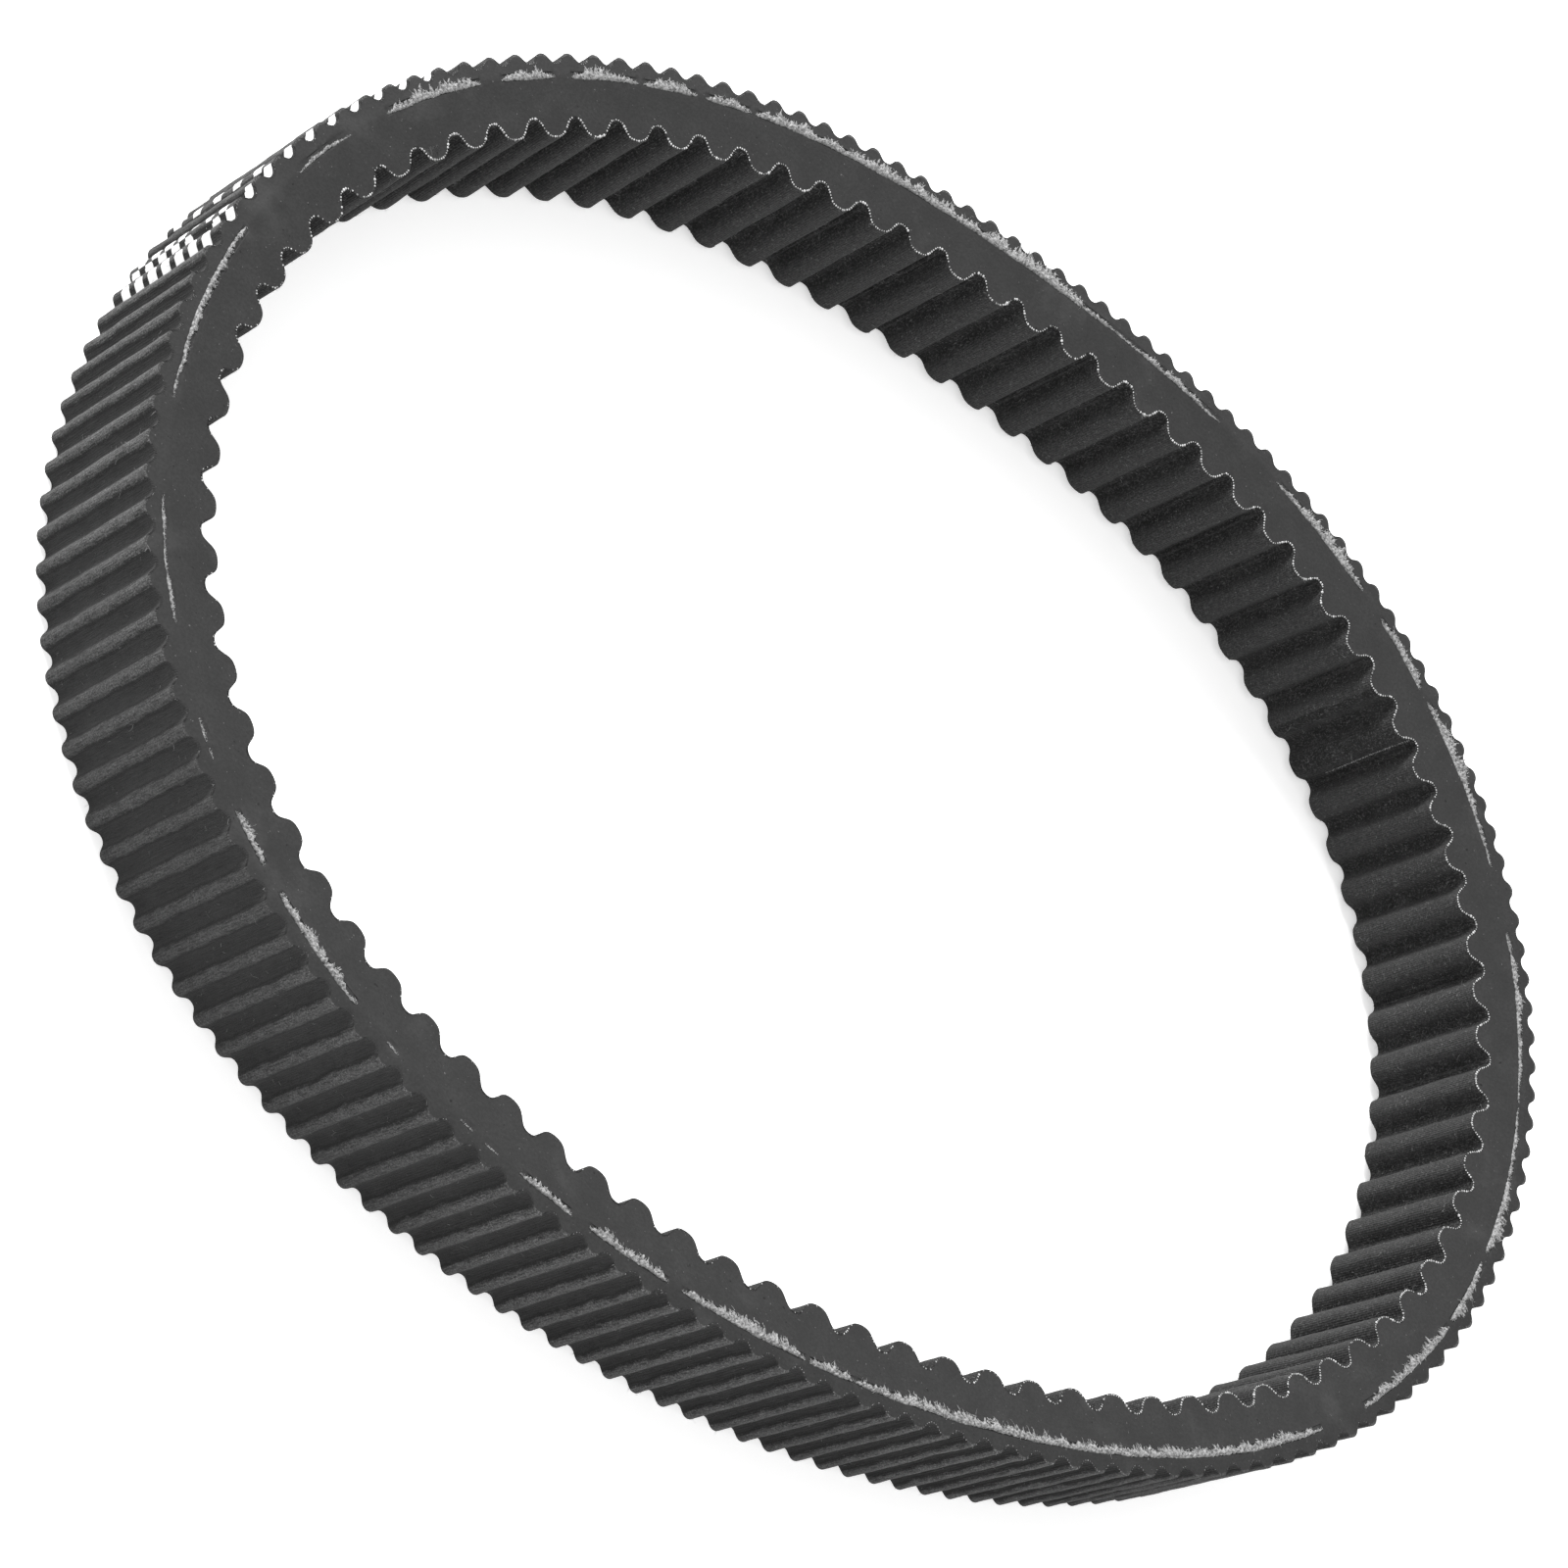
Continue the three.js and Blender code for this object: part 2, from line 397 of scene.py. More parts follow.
def rubber_material(name, grey):
    """Ground rubber: mottling, fine grain, marks along the belt, smears, pits and a little pale dust."""
    n = Nodes(name, 0.82, specular=0.2)
    here = n.coordinates()
    mottle = n.ramp(n.noise(here, 150, 4), 0.3, 0.72)
    grain = n.ramp(n.noise(here, 1700, 3, 0.6), 0.3, 0.72)
    scratch = n.ramp(n.noise(n.coordinates((0.25, 2.4, 1.0), "UV"), 1.0, 3), 0.62, 0.8)
    smear = n.ramp(n.noise(here, 75, 4, 0.6), 0.56, 0.75)
    pits = n.ramp(n.noise(n.coordinates((1, 1, 1.3)), 900, 1, 0.3), 0.775, 0.81)
    dust = n.ramp(n.noise(here, 2100, 2, 0.4), 0.725, 0.78)
    body = n.mix(mottle, grey * 0.84, grey * 1.14)
    body = n.over(body, grain, 0.5, grey * 0.6)
    body = n.over(body, scratch, 0.3, grey * 1.9)
    body = n.over(body, smear, 0.4, grey * 1.7)
    body = n.over(body, pits, 0.7, grey * 0.25)
    n.colour(n.over(body, dust, 0.6, 0.17))
    n.roughness(n.ramp(mottle, 0.0, 1.0, 0.74, 0.88))
    n.bump(grain, 0.45, 0.06)
    n.bump(scratch, 0.25, 0.03)
    return n.material


def inner_facing_material(name, grey):
    """Stretch fabric soaked in rubber: fine threads across the belt, a nap, pale lint in patches, and
    painted shade in the valleys with painted light on the crests.
    """
    n = Nodes(name, 0.9, specular=0.1, sheen=0.04)
    here = n.coordinates()
    crest = n.crest()
    threads = n.threads(0.5, 1.8)
    nap = n.noise(here, 2300, 4, 0.75)
    clouds = n.ramp(n.noise(here, 300, 4), 0.35, 0.7)
    patches = n.ramp(n.noise(here, 110, 3), 0.36, 0.66)
    lint = n.times(n.ramp(n.noise(here, 1700, 2, 0.6), 0.62, 0.7), patches)
    # darker in the valleys and paler on the crests: painted shade and painted light
    body = n.mix(n.ramp(crest, 0.15, 0.9), grey * 0.5, grey * 2.0)
    body = n.over(body, clouds, 0.5, grey * 2.0)
    body = n.over(body, threads, 0.4, grey * 0.3)
    body = n.over(body, n.ramp(nap, 0.5, 0.64), 0.75, grey * 4.2)
    body = n.over(body, n.ramp(nap, 0.45, 0.36), 0.6, grey * 0.3)
    n.colour(n.over(body, lint, 0.7, 0.12))
    n.bump(threads, 0.6, 0.1)
    n.bump(nap, 0.8, 0.14)
    return n.material


def outer_facing_material(name, grey, worn_and_lit_grey):
    """The same fabric, paler along the outer cogs' ragged crests, partly worn and partly painted light,
    with a painted shadow line below each.
    """
    n = Nodes(name, 0.86, specular=0.16, sheen=0.05)
    here = n.coordinates()
    threads = n.threads(0.42, 1.2)
    nap = n.noise(here, 3000, 4, 0.7)
    lines = n.noise(n.coordinates((3.4, 0.3, 1.0), "UV"), 1.0, 4, 0.7)
    raggedness = n.math("ADD", n.times(lines, 0.7), n.times(n.noise(here, 130, 3), 0.6))
    crest = n.crest()
    ragged = n.math("ADD", crest, n.math("SUBTRACT", raggedness, 0.65))
    # the band just below each crest, where the painted shadow line goes
    shoulder = n.times(n.ramp(ragged, 0.35, 0.55), n.ramp(ragged, 0.85, 0.65))
    clouds = n.ramp(n.noise(here, 240, 4), 0.35, 0.7)
    # a little paler towards the crests: painted light
    body = n.mix(n.ramp(crest, 0.0, 0.8), grey * 0.95, grey * 1.1)
    body = n.over(body, clouds, 0.4, grey * 1.5)
    # painted shadow line below each crest
    body = n.over(body, shoulder, 0.8, grey * 0.2)
    body = n.over(body, threads, 0.3, grey * 0.45)
    body = n.over(body, n.ramp(lines, 0.55, 0.7), 0.5, grey * 2.2)
    body = n.over(body, n.ramp(lines, 0.46, 0.34), 0.7, grey * 0.3)
    # how strongly the crests are painted pale, which changes slowly and at random along the loop: partly
    # wear, partly painted light
    wear_and_light_strength = n.ramp(n.noise(here, 11, 2), 0.35, 0.65, 0.4, 1.0)
    # narrow pale lines on the crests: partly real wear, partly painted highlight
    wear_and_highlight = n.times(n.ramp(ragged, 0.7, 0.98), n.ramp(lines, 0.36, 0.6))
    body = n.over(body, wear_and_highlight, n.times(wear_and_light_strength, 0.75), worn_and_lit_grey)
    # a broader pale band on the crests: partly wear, partly painted highlight
    rubbed = n.times(n.ramp(ragged, 0.5, 1.0), n.ramp(nap, 0.5, 0.62))
    body = n.over(body, rubbed, n.times(wear_and_light_strength, 0.6), worn_and_lit_grey * 2.1)
    n.colour(n.over(body, n.ramp(nap, 0.45, 0.37), 0.6, grey * 0.3))
    n.bump(threads, 0.5, 0.07)
    n.bump(lines, 0.9, 0.2)
    n.bump(nap, 0.8, 0.12)
    return n.material


def aramid_material(name, grey):
    """Pale fibres, some of them stained by the rubber, with darker gaps between the strands."""
    n = Nodes(name, 0.88, specular=0.25, sheen=0.1)
    here = n.coordinates()
    strands = n.noise(here, 1900, 4, 0.65)
    stain = n.noise(here, 330, 2)
    body = n.mix(n.ramp(strands, 0.36, 0.6), grey * 0.36, grey * 1.1)
    n.colour(n.mix(n.ramp(stain, 0.48, 0.7, 0.0, 0.45), body, grey * 0.5))
    n.bump(strands, 0.6, 0.06)
    return n.material


def thread_end_material(name, grey):
    """Cut or loose threads of the facing, some of them stained by the rubber."""
    n = Nodes(name, 0.8, specular=0.25)
    stain = n.noise(n.coordinates(), 900, 3)
    n.colour(n.mix(n.ramp(stain, 0.42, 0.64), grey, grey * 0.4))
    n.bump(stain, 0.3, 0.03)
    return n.material


def ink_material(name):
    """White marking ink, a little broken over the fabric's nap."""
    n = Nodes(name, 0.6, specular=0.3)
    here = n.coordinates()
    worn = n.ramp(n.noise(here, 1300, 3, 0.6), 0.66, 0.76)
    n.colour(n.over(0.84, worn, 0.6, 0.3))
    n.bump(n.noise(here, 2400, 2), 0.3, 0.04)
    return n.material


def floor_material(name, grey, glow):
    """A plain pale floor that glows a little, which keeps the belt's shadow faint."""
    n = Nodes(name, 0.9, specular=0.1)
    cloud = n.noise(n.coordinates(), 2.0, 2)
    n.colour(n.mix(cloud, grey * 0.985, grey))
    n.shader.inputs["Emission Color"].default_value = (1, 1, 1, 1)
    n.shader.inputs["Emission Strength"].default_value = glow
    return n.material


# ---- rubber layers ----
def flank_rows(base, top, fades):
    """A section's corners: rows from the base to the top up one flank, and back down the other."""
    rows = [base + (top - base) * fade for fade in fades]
    return [(row, -half_width(row)) for row in rows] + [(row, half_width(row)) for row in rows[::-1]]


def build_undercord(material):
    """The inner cogs and most of the flank, in rows that follow the cogs and fade to the cord line."""
    def corners(share):
        return flank_rows(inner_edge(share) + FABRIC, UNDERCORD_TOP, (0.0, 0.12, 0.3, 0.55, 0.8, 1.0))

    body = section_ring("undercord_body", INNER_COGS * 32, corners)
    finish(body, material, ("undercord_rubber",))


def build_overcord(material):
    """The outer cogs' rubber, down to the adhesion rubber."""
    def corners(share):
        return flank_rows(OVERCORD_BASE, outer_edge(share) - FABRIC, (0.0, 0.25, 0.6, 1.0))

    body = section_ring("overcord_body", OUTER_COGS * 20, corners)
    finish(body, material, ("overcord_rubber",))


def random_streaks(seed):
    """Bare stretches for the flank on the ground, of the same kind as those on top."""
    rng = np.random.default_rng(seed)
    streaks, at = [], 5.0
    while at < LOOP_LENGTH - 40:
        length = float(rng.uniform(6, 50))
        middle = rng.uniform(0.6, 1.0, max(2, round(length / 8)))
        streaks.append((at, length, 1 if rng.uniform() < 0.5 else -1, (0.3, *middle, 0.3)))
        at += length + float(rng.uniform(2, 22))
    return tuple(streaks)


def streak_reach(along, streaks):
    """How far the bare cord's fibres spread at distances along the loop, and 0 where it is covered."""
    reach = np.zeros_like(along)
    for start, length, _, spread in streaks:
        inside = np.mod(along - start, LOOP_LENGTH) / length
        steps = np.linspace(0, 1, len(spread))
        reach = np.where(inside <= 1, np.interp(inside, steps, spread), reach)
    unevenness = 0.22 * ripple(12, (12, 2.0, 7), along) + 0.15 * ripple(13, (12, 0.7, 1.6), along)
    return reach * np.clip(1 + unevenness, 0.35, 1.6)


def build_adhesion(material, near, far):
    """The rubber round the cord. Where the cord is bare it sits a little back, which leaves a fine edge."""
    offsets = (UNDERCORD_TOP, -1.0, -0.75, -0.6, 0.0, 0.6, 0.75, OVERCORD_BASE)
    groove_half_width, groove_depth = 0.7, 0.22

    def corners(share):
        section = []
        for side, streaks in ((-1, far), (1, near)):
            depth = groove_depth * np.clip(streak_reach(share * LOOP_LENGTH, streaks), 0, 1)
            dips = [depth * (abs(offset) < groove_half_width) for offset in offsets]
            edge = [(offset, side * (half_width(offset) - dip)) for offset, dip in zip(offsets, dips)]
            section += edge if side < 0 else edge[::-1]
        return section

    body = section_ring("adhesion_body", 2700, corners)
    finish(body, material, ("lower_adhesion_rubber", "upper_adhesion_rubber"))


# ---- the tension cord ----
def build_cord(material):
    """One cord wound as a helix from flank to flank, with its three strands' twist in its surface."""
    per_turn, sides = 420, 10
    turn = np.arange(per_turn * CORD_TURNS + 1) / per_turn
    height = (turn / CORD_TURNS - 0.5) * (CORD_TURNS - 1) * CORD_PITCH
    angle = 2 * math.pi * np.arange(sides) / sides
    strands = 0.05 * np.cos(3 * (angle[None] + 2 * math.pi * turn[:, None] * LOOP_LENGTH / CORD_LAY))
    reach = CORD_DIAMETER / 2 * (0.95 + strands)
    points = place(turn[:, None], reach * np.cos(angle), height[:, None] + reach * np.sin(angle))
    cord = new_object("tension_cord", points.reshape(-1, 3), capped_tube(len(turn), sides))
    turns = [f"tension_cord_turn_{number:02d}" for number in range(1, CORD_TURNS + 1)]
    finish(cord, material, turns)


def cord_wander(along):
    """How far the bare cord strays outwards, at distances along the loop."""
    return 0.09 * ripple(14, (10, 3, 12), along)


def along_streaks(streaks, per_mm, rng):
    """Random places along the bare stretches: distance along the loop, lean and reach."""
    along, lean = [], []
    for start, length, side_of_lean, _ in streaks:
        count = round(length * per_mm)
        along.append(start + length * (np.arange(count) + rng.uniform(0.1, 0.9, count)) / count)
        lean.append(np.full(count, float(side_of_lean)))
    along, lean = np.concatenate(along), np.concatenate(lean)
    return along, lean, streak_reach(along, streaks)


def felt_band(start, length, lean, side, streaks, seed):
    """One stretch's band, as points for each station: ten over its domed face, and two inside the belt."""
    across = np.linspace(0, 1, 10)
    stations = max(8, round(length / 0.16))
    run = np.linspace(0, 1, stations)
    along = (start + length * run)[:, None]
    taper = np.sqrt(np.clip(np.minimum(run, 1 - run) * length / 1.2, 0.0, 1.0))[:, None]
    reach = streak_reach(along, streaks) * (0.86 + 0.1 * ripple(seed, (9, 0.5, 1.4), along)) * taper
    back = (STREAK_EDGE - 0.3) * (1 - taper) + 0.07 * ripple(seed + 1, (10, 0.7, 4), along)
    depth = back + np.maximum(reach - back, 0.05) * across
    offset = lean * (depth - STREAK_EDGE) + cord_wander(along)
    dome = 1 - np.abs(2 * across - 1) ** 3
    lumps = ripple(seed + 2, (30, 0.45, 1.3), along, depth)
    lumps += 0.6 * ripple(seed + 3, (16, 1.2, 3.5), along, depth)
    rise = -0.1 + (0.21 + 0.085 * lumps) * dome * np.clip(reach / 0.9, 0.35, 1)
    top = place(along / LOOP_LENGTH, offset, side * (half_width(offset) + rise))
    ends = offset[:, [0, -1]]
    base = place(along / LOOP_LENGTH, ends, side * (half_width(ends) - 0.3))[:, ::-1]
    band = np.concatenate([top, base], 1)
    band[..., 2] = np.maximum(band[..., 2], GROUND_GAP)
    return band


def build_felt(name, side, streaks, seed, material):
    """The cut cord's matted fibres: a low lumpy band on each bare stretch, clean on one edge."""
    points, faces, first_point = [], [], 0
    for start, length, lean, _ in streaks:
        band = felt_band(start, length, lean, side, streaks, seed)
        triangles = capped_tube(*band.shape[:2])
        if side * lean > 0:
            triangles = triangles[:, ::-1]
        points.append(band.reshape(-1, 3))
        faces.append(triangles + first_point)
        first_point += len(points[-1])
    felt = new_object(name, np.concatenate(points), np.concatenate(faces), crease=70)
    finish(felt, material)


def build_tufts(name, side, streaks, seed, material):
    """The cord cut open by grinding: short strands that lie at loose slants and overlap like thatch."""
    rng = np.random.default_rng(seed)
    pieces = []
    for layer, per_mm in ((0, 3.0), (1, 2.4), (2, 2.4)):
        along, lean, reach = along_streaks(streaks, per_mm, rng)
        count = len(along)
        depth = reach * (0.06 + 0.27 * layer + 0.2 * rng.uniform(size=count))
        length = np.clip(reach * rng.uniform(0.2, 0.5, count), 0.2, 0.95)
        length = np.minimum(length, np.maximum(reach * 1.05 - depth, 0.2))
        slant = np.radians(rng.normal(30, 38, count))
        pieces.append((along, lean, depth, length, slant, np.full(count, layer)))
    along, lean, depth, length, slant, layer = (np.concatenate(part) for part in zip(*pieces))
    count = len(along)
    share = along / LOOP_LENGTH
    offset = lean * (depth - STREAK_EDGE) + cord_wander(along)
    rise = 0.02 + 0.05 * (layer == 1) + rng.uniform(-0.03, 0.05, count)
    roots = place(share, offset, side * (half_width(offset) + rise))
    normal, tangent = directions(share)
    heading = (lean * np.cos(slant))[:, None] * normal - np.sin(slant)[:, None] * tangent
    steps = []
    for bend, lift in ((0.0, 0.12), (0.15, 0.03), (0.3, -0.12)):
        run = heading + bend * rng.normal(0, 1, (count, 1)) * tangent
        run /= np.linalg.norm(run, axis=1, keepdims=True)
        # the flank falls away inwards of the shoulder
        slope = np.where(offset[:, None] < 0, FLANK_SLOPE * np.sum(run * normal, 1, keepdims=True), 0)
        steps.append(np.concatenate([run, side * (slope + lift)], 1) * (length / 3)[:, None])
    radii = rng.uniform(0.06, 0.13, count) * np.clip(streak_reach(along, streaks) / 1.4, 0.45, 1)
    tufts = fibres(name, roots, np.stack(steps, 1), radii, sides=4, tip=0.5)
    finish(tufts, material)


def build_fuzz(name, side, streaks, seed, material, per_mm):
    """Single fibres that stand out of the bare cord."""
    rng = np.random.default_rng(seed)
    along, lean, reach = along_streaks(streaks, per_mm, rng)
    count = len(along)
    share = along / LOOP_LENGTH
    offset = lean * (reach * rng.uniform(0.0, 0.75, count) - STREAK_EDGE)
    roots = place(share, offset, side * (half_width(offset) + 0.02))
    normal, tangent = directions(share)
    towards = np.where(rng.uniform(size=count) < 0.88, lean, -0.6 * lean)
    heading = towards[:, None] * normal - rng.normal(0.5, 0.6, (count, 1)) * tangent
    heading /= np.linalg.norm(heading, axis=1, keepdims=True)
    length = np.clip(reach, 0.4, 1.8) * rng.lognormal(-1.0, 0.5, count)
    curl = rng.normal(0, 0.4, (count, 1))
    steps = []
    for bend in (0.0, 1.0, 2.0):
        run = heading + bend * curl * tangent
        run /= np.linalg.norm(run, axis=1, keepdims=True)
        rise = side * 0.22 * (1 - 0.7 * bend) * np.ones((count, 1))
        steps.append(np.concatenate([run, rise], 1) * (length / 3)[:, None])
    hairs = fibres(name, roots, np.stack(steps, 1), rng.uniform(0.025, 0.05, count), tip=0.4)
    finish(hairs, material)


# ---- the fabric facings ----
def pleats(share, level, seed):
    """The facing's folds in the inner valleys: low ridges across the belt, unlike from cog to cog."""
    cogs_passed = share * INNER_COGS - INNER_PHASE
    cog = np.floor(cogs_passed).astype(int) % INNER_COGS
    rng = np.random.default_rng(seed)
    middle = rng.uniform(0.44, 0.58, INNER_COGS)
    height = rng.uniform(0, 0.55, INNER_COGS)
    bend = rng.normal(0, 1, INNER_COGS)
    place_in_pitch = np.mod(cogs_passed, 1.0)[:, None]
    distance = place_in_pitch - middle[cog][:, None] - 0.012 * bend[cog][:, None] * np.sin(2.2 * level)
    ridge = np.exp(-(distance / 0.035) ** 2)
    grooves = np.exp(-((np.abs(distance) - 0.075) / 0.022) ** 2)
    return height[cog][:, None] * (ridge - 0.7 * grooves)


def build_facing(name, stations, edge, inwards, material, node, seed):
    """A fabric skin on a row of cogs. Its face has slight lumps, and its thickness goes into the belt."""
    share = np.arange(stations) / stations
    face = edge(share)[:, None]
    rear = face + FABRIC * (1 if inwards else -1) + np.zeros((1, 2))
    level = np.broadcast_to(np.linspace(-1, 1, 23), (stations, 23))
    rear_level = np.broadcast_to(np.array([-1.0, 1.0]), (stations, 2))
    fade = 1 - np.abs(level) ** 8
    along, across = (share * LOOP_LENGTH)[:, None], level * HALF_WIDTH
    lumps = 0.05 * fade * (ripple(seed, (26, 3, 25), along, across) - 1)
    if inwards:
        lumps = lumps + fade * pleats(share, level, seed + 1)
        front_grid = place(share[:, None], face - lumps, level * half_width(face))[:, ::-1]
        rear_grid = place(share[:, None], rear, rear_level * half_width(rear))
        around = np.concatenate([level[:, ::-1], rear_level], 1) * HALF_WIDTH
    else:
        front_grid = place(share[:, None], face + lumps, level * HALF_WIDTH)
        rear_grid = place(share[:, None], rear, rear_level * HALF_WIDTH)[:, ::-1]
        around = np.concatenate([level, rear_level[:, ::-1]], 1) * HALF_WIDTH
    # u is the distance travelled over the cogs, so that threads keep their spacing
    climb = np.diff(np.append(face, face[0]))
    travel = np.insert(np.cumsum(np.hypot(climb, LOOP_LENGTH / stations)), 0, 0.0)
    rise = np.abs(face - (face.max() if inwards else face.min()))
    crest = np.broadcast_to(rise / rise.max(), around.shape)
    around = np.concatenate([around, around[:, :1]], 1)
    skin = ring_object(name, np.concatenate([front_grid, rear_grid], 1), travel, around, 60, crest)
    finish(skin, material, (node,))


def travel_table(edge, samples=60000):
    """Shares of the loop, and the distance travelled over the cogs to each."""
    share = np.arange(samples + 1) / samples
    step = np.hypot(np.diff(edge(share)), LOOP_LENGTH / samples)
    return share, np.insert(np.cumsum(step), 0, 0.0)


def dome_shape(sides=6):
    """A low dome of radius 1 on the xy plane: its points, and its triangles."""
    levels = ((1.0, -0.15), (0.85, 0.3), (0.45, 0.6))  # radius and height
    turns = 2 * math.pi * np.arange(sides) / sides
    points = [(reach * math.cos(t), reach * math.sin(t), rise) for reach, rise in levels for t in turns]
    faces = []
    for start in range(0, (len(levels) - 1) * sides, sides):
        for corner in range(sides):
            a, b = start + corner, start + (corner + 1) % sides
            faces += [(a, b, b + sides), (a, b + sides, a + sides)]
    top, tip = (len(levels) - 1) * sides, len(points)
    faces += [(top + corner, top + (corner + 1) % sides, tip) for corner in range(sides)]
    faces += [(0, corner + 1, corner) for corner in range(1, sides - 1)]
    return np.array(points + [(0.0, 0.0, 0.7)]), np.array(faces)


def build_thread_ends(name, edge, inset, pitch, radius, missing, seed, material):
    """Cut thread ends in a row along the facing's edge, on both flanks: low domes of uneven size.

    missing says how likely an end is to be lost, from its share of the loop and from how deep it lies in a
    valley, from 0 to 1.
    """
    shares, travel = travel_table(edge)
    levels = edge(shares)
    tip = levels[np.argmax(np.abs(levels))]
    rng = np.random.default_rng(seed)
    count = round(travel[-1] / pitch)
    centres, sizes, sides = [], [], []
    for side in (-1, 1):
        at = (np.arange(count) + rng.uniform(-0.12, 0.12, count)) * travel[-1] / count
        share = np.interp(at, travel, shares)
        depth = np.abs(edge(share) - tip)
        lost = missing(share, depth / depth.max())
        kept = rng.uniform(size=count) > lost
        offset = edge(share) + inset + rng.normal(0, 0.035, count)
        centres.append(place(share, offset, side * (half_width(offset) - 0.01))[kept])
        sizes.append((radius * (1 - 0.45 * lost) * rng.lognormal(0, 0.22, count))[kept])
        sides.append(np.full(kept.sum(), side))
    centre, size, side = np.concatenate(centres), np.concatenate(sizes), np.concatenate(sides)
    dome, dome_faces = dome_shape()
    facing_out = np.stack([np.ones_like(side), np.ones_like(side), side], 1)
    points = centre[:, None] + size[:, None, None] * dome * facing_out[:, None]
    points[..., 2] = np.maximum(points[..., 2], 0.005)  # none reaches under the ground
    faces = [(dome_faces if s > 0 else dome_faces[:, ::-1]) + k * len(dome) for k, s in enumerate(side)]
    ends = new_object(name, points.reshape(-1, 3), np.concatenate(faces))
    finish(ends, material)


def inner_ends_missing(share, valley):
    """Rubber dust hides the ends over nearly half of the loop, and those in the valleys last."""
    hidden = np.clip(1.5 * np.cos(2 * math.pi * (share - 0.13)) - 0.25, 0, 1)
    return 0.04 + 0.94 * hidden * (1 - 0.55 * valley * np.clip(2 - 1.6 * hidden, 0, 1))


def outer_ends_missing(share, valley):
    """The outer facing's ends show in two stretches, best in the valleys."""
    shown = np.exp(-((share - 0.29) / 0.1) ** 2) + np.exp(-((share - 0.87) / 0.08) ** 2)
    return np.clip(0.97 - 0.85 * shown * (0.45 + 0.55 * valley), 0, 1)


def build_lint(name, edge, towards, count, seed, material):
    """Loose fibres that lie all over a facing. towards is 1 for the outer facing and -1 for the inner."""
    rng = np.random.default_rng(seed)
    share = rng.uniform(size=count)
    height = rng.uniform(-0.97, 0.97, count) * half_width(edge(share))
    offset = edge(share) + towards * 0.05
    roots = place(share, offset, height)
    normal, tangent = directions(share)
    heading = rng.uniform(0, 2 * math.pi, count)
    length = rng.lognormal(-0.1, 0.45, count)
    steps = []
    for bend in range(4):
        turn = heading + bend * rng.normal(0, 0.55, count)
        across, up = np.cos(turn), np.sin(turn)
        flat = across[:, None] * tangent + towards * 0.25 * (1 - 0.5 * bend) * normal
        steps.append(np.concatenate([flat, up[:, None]], 1) * (length / 4)[:, None])
    hairs = fibres(name, roots, np.stack(steps, 1), rng.uniform(0.018, 0.035, count), tip=0.5)
    finish(hairs, material)


def build_edge_fray(name, edge, towards, count, seed, material):
    """Short threads that stick out of a facing's cut edges."""
    rng = np.random.default_rng(seed)
    share = rng.uniform(size=count)
    side = np.where(rng.uniform(size=count) < 0.5, -1.0, 1.0)
    offset = edge(share) - towards * rng.uniform(0.05, 0.4, count)
    roots = place(share, offset, side * (half_width(offset) - 0.03))
    normal, tangent = directions(share)
    steps = []
    swing = rng.normal(0, 0.45, (count, 1))
    for bend in range(3):
        flat = towards * rng.uniform(0.3, 1.0, (count, 1)) * normal + swing * (1 + 0.3 * bend) * tangent
        steps.append(np.concatenate([flat, (side * rng.uniform(0.0, 0.3, count))[:, None]], 1))
    steps = np.stack(steps, 1) * rng.lognormal(-1.7, 0.35, count)[:, None, None]
    hairs = fibres(name, roots, steps, rng.uniform(0.02, 0.04, count), tip=0.5)
    finish(hairs, material)


def lap_wave(height):
    """How far the lap's edge strays, as a share of the loop. height is a share of the half width."""
    return 0.00015 * np.sin(height * 3.1)


def build_lap(material):
    """The lap where the inner facing's ends meet: a second ply over a cog, thick at its first edge."""
    stations, lanes = 60, 15
    run = np.linspace(0, 1, stations)
    share = LAP_START + run * 1.35 / INNER_COGS
    level = np.broadcast_to(np.linspace(-1, 1, lanes), (stations, lanes))
    thick = 0.34 * (1 - run) ** 0.6 * np.clip(run * 40, 0.75, 1) + 0.02
    wavy_share = share[:, None] + lap_wave(level) * (1 - run[:, None])
    face = inner_edge(share)[:, None] - thick[:, None]
    base = inner_edge(share)[:, None] + 0.15
    front = place(wavy_share, face, level * (half_width(face) - 0.02))
    rear = place(wavy_share, base, level * (half_width(base) - 0.02))
    corners = 2 * lanes
    faces = [tube_quads(stations, corners, closed=False)]
    for row, order in ((0, -1), ((stations - 1) * corners, 1)):
        lane = row + np.arange(lanes - 1)
        opposite = row + corners - 1 - np.arange(lanes - 1)
        faces.append(np.stack([lane, lane + 1, opposite - 1, opposite], 1)[:, ::order])
    faces = np.concatenate(faces)
    across = np.concatenate([level[:, ::-1], level], 1) * HALF_WIDTH
    along = np.broadcast_to(((share - LAP_START) * LOOP_LENGTH)[:, None], across.shape)
    uv = np.stack([along, across], -1).reshape(-1, 2)
    points = np.concatenate([front[:, ::-1], rear], 1)
    ply = new_object("inner_facing_lap", points.reshape(-1, 3), faces, uv[faces].reshape(-1, 2))
    finish(ply, material)


def build_lap_fray(material):
    """Short cut threads along most of the lap's thick edge."""
    rng = np.random.default_rng(71)
    count = 110
    height = np.linspace(-9, 15, count) + rng.normal(0, 0.08, count)
    share = LAP_START + lap_wave(height / 15)
    roots = place(share, inner_edge(share) - 0.3, height)
    normal, tangent = directions(share)
    steps = []
    for _ in range(3):
        flat = -tangent * rng.uniform(0.4, 1.0, (count, 1)) + normal * rng.uniform(-0.5, 0.4, (count, 1))
        rise = rng.normal(0, 0.5, (count, 1))
        steps.append(np.concatenate([flat, rise], 1) * rng.uniform(0.08, 0.2, (count, 1)))
    fray = fibres("inner_facing_fray", roots, np.stack(steps, 1), rng.uniform(0.04, 0.08, count))
    finish(fray, material)


def scuff_shares(share, spread):
    """Where a scuff's threads start: side by side over a spread in mm, about a share of the loop."""
    return np.full(SCUFF_THREADS, share) + np.linspace(-0.5, 0.5, SCUFF_THREADS) * spread / LOOP_LENGTH


